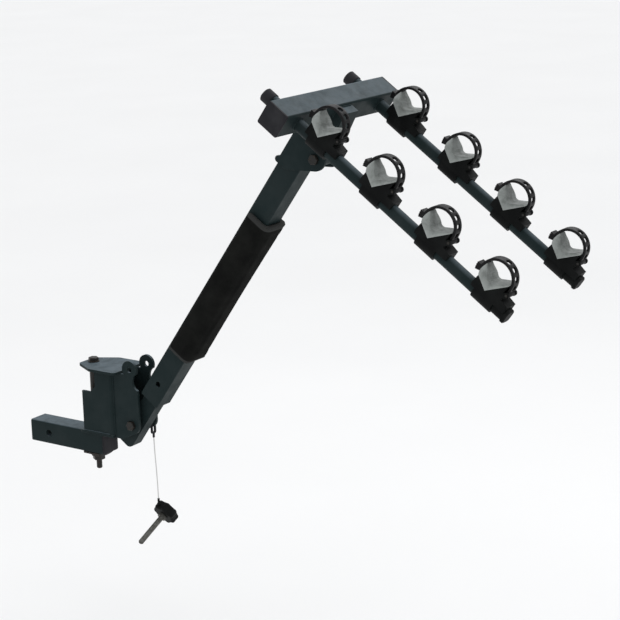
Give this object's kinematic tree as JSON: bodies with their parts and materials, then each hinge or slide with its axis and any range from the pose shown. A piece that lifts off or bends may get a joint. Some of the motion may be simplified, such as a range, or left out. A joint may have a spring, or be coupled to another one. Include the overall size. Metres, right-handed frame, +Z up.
{
  "type": "hitch bike rack",
  "caption": "Tilting-mast rack for a vehicle's square receiver hitch, with folding arms whose strapped cradles hold bicycles by their top tubes.",
  "frame": {"origin": "centre of the hitch pin hole, on the shank's axis", "axes": "+Z up, +Y forward to the vehicle along the shank, +X to the vehicle's right along the pin hole"},
  "size_m": [0.394, 1.3134, 1.0542],
  "materials": {
    "coated_steel": "satin powder coat, dark slate grey",
    "zinc_hardware": "zinc plated, dulled",
    "black_hardware": "blackened steel, oiled and slightly rusty",
    "black_plastic": "moulded, matte black",
    "cradle_plastic": "moulded, matte black",
    "grey_rubber": "soft matte light grey",
    "strap_rubber": "flexible matte black",
    "foam": "closed-cell foam in a black cover",
    "wire": "plastic-coated steel wire, pale"
  },
  "bodies": {
    "hitch_base": {"hitch_shank": "coated_steel", "shank_plug": "black_plastic", "base_plate": "coated_steel", "hitch_channel": "coated_steel", "left_cheek": "coated_steel", "right_cheek": "coated_steel", "top_plate": "coated_steel", "clamp_bolt": "black_hardware", "bolt_sleeve": "black_hardware", "clamp_block": "black_hardware", "clamp_nut": "black_hardware", "tilt_bolt": "black_hardware", "tilt_nut": "black_hardware", "tilt_spacers": "zinc_hardware", "lanyard_loop": "black_plastic", "lanyard": "wire", "pull_knob": "black_plastic", "pull_pin": "zinc_hardware"},
    "mast": {"mast_tube": "coated_steel", "mast_foot": "coated_steel", "foot_bushing": "zinc_hardware", "mast_pad": "foam", "mast_cap": "black_plastic", "left_yoke": "coated_steel", "right_yoke": "coated_steel", "fold_bolt": "black_hardware", "fold_nut": "black_hardware"},
    "arm_head": {"head_bar": "coated_steel", "head_lug": "coated_steel", "lug_bushing": "zinc_hardware", "head_caps": "black_plastic", "left_arm": "coated_steel", "right_arm": "coated_steel", "stub_caps": "black_plastic", "tip_caps": "black_plastic", "strap_pins": "zinc_hardware", "left_cradle_base_1": "cradle_plastic", "left_cradle_base_2": "cradle_plastic", "left_cradle_base_3": "cradle_plastic", "left_cradle_base_4": "cradle_plastic", "right_cradle_base_1": "cradle_plastic", "right_cradle_base_2": "cradle_plastic", "right_cradle_base_3": "cradle_plastic", "right_cradle_base_4": "cradle_plastic", "left_cradle_pad_1": "grey_rubber", "left_cradle_pad_2": "grey_rubber", "left_cradle_pad_3": "grey_rubber", "left_cradle_pad_4": "grey_rubber", "right_cradle_pad_1": "grey_rubber", "right_cradle_pad_2": "grey_rubber", "right_cradle_pad_3": "grey_rubber", "right_cradle_pad_4": "grey_rubber"},
    "left_strap_1": {"left_strap_1": "strap_rubber"},
    "left_strap_2": {"left_strap_2": "strap_rubber"},
    "left_strap_3": {"left_strap_3": "strap_rubber"},
    "left_strap_4": {"left_strap_4": "strap_rubber"},
    "right_strap_1": {"right_strap_1": "strap_rubber"},
    "right_strap_2": {"right_strap_2": "strap_rubber"},
    "right_strap_3": {"right_strap_3": "strap_rubber"},
    "right_strap_4": {"right_strap_4": "strap_rubber"}
  },
  "joints": [
    {"name": "mast_tilt", "type": "hinge", "parent": "hitch_base", "child": "mast", "pos_m": [0, -0.254, 0.0614], "axis": [1, 0, 0], "range_deg": [-35.6, 0]},
    {"name": "arm_fold", "type": "hinge", "parent": "mast", "child": "arm_head", "pos_m": [0, -0.75466, 0.68685], "axis": [1, 0, 0], "range_deg": [0, 90]},
    {"name": "left_strap_hinge_1", "type": "hinge", "parent": "arm_head", "child": "left_strap_1", "pos_m": [-0.1435, -0.8937, 0.74965], "axis": [1, 0, 0], "range_deg": [0, 90]},
    {"name": "left_strap_hinge_2", "type": "hinge", "parent": "arm_head", "child": "left_strap_2", "pos_m": [-0.1435, -1.01079, 0.66582], "axis": [1, 0, 0], "range_deg": [0, 90]},
    {"name": "left_strap_hinge_3", "type": "hinge", "parent": "arm_head", "child": "left_strap_3", "pos_m": [-0.1435, -1.12788, 0.582], "axis": [1, 0, 0], "range_deg": [0, 90]},
    {"name": "left_strap_hinge_4", "type": "hinge", "parent": "arm_head", "child": "left_strap_4", "pos_m": [-0.1435, -1.24496, 0.49817], "axis": [1, 0, 0], "range_deg": [0, 90]},
    {"name": "right_strap_hinge_1", "type": "hinge", "parent": "arm_head", "child": "right_strap_1", "pos_m": [0.1435, -0.8937, 0.74965], "axis": [1, 0, 0], "range_deg": [0, 90]},
    {"name": "right_strap_hinge_2", "type": "hinge", "parent": "arm_head", "child": "right_strap_2", "pos_m": [0.1435, -1.01079, 0.66582], "axis": [1, 0, 0], "range_deg": [0, 90]},
    {"name": "right_strap_hinge_3", "type": "hinge", "parent": "arm_head", "child": "right_strap_3", "pos_m": [0.1435, -1.12788, 0.582], "axis": [1, 0, 0], "range_deg": [0, 90]},
    {"name": "right_strap_hinge_4", "type": "hinge", "parent": "arm_head", "child": "right_strap_4", "pos_m": [0.1435, -1.24496, 0.49817], "axis": [1, 0, 0], "range_deg": [0, 90]}
  ]
}
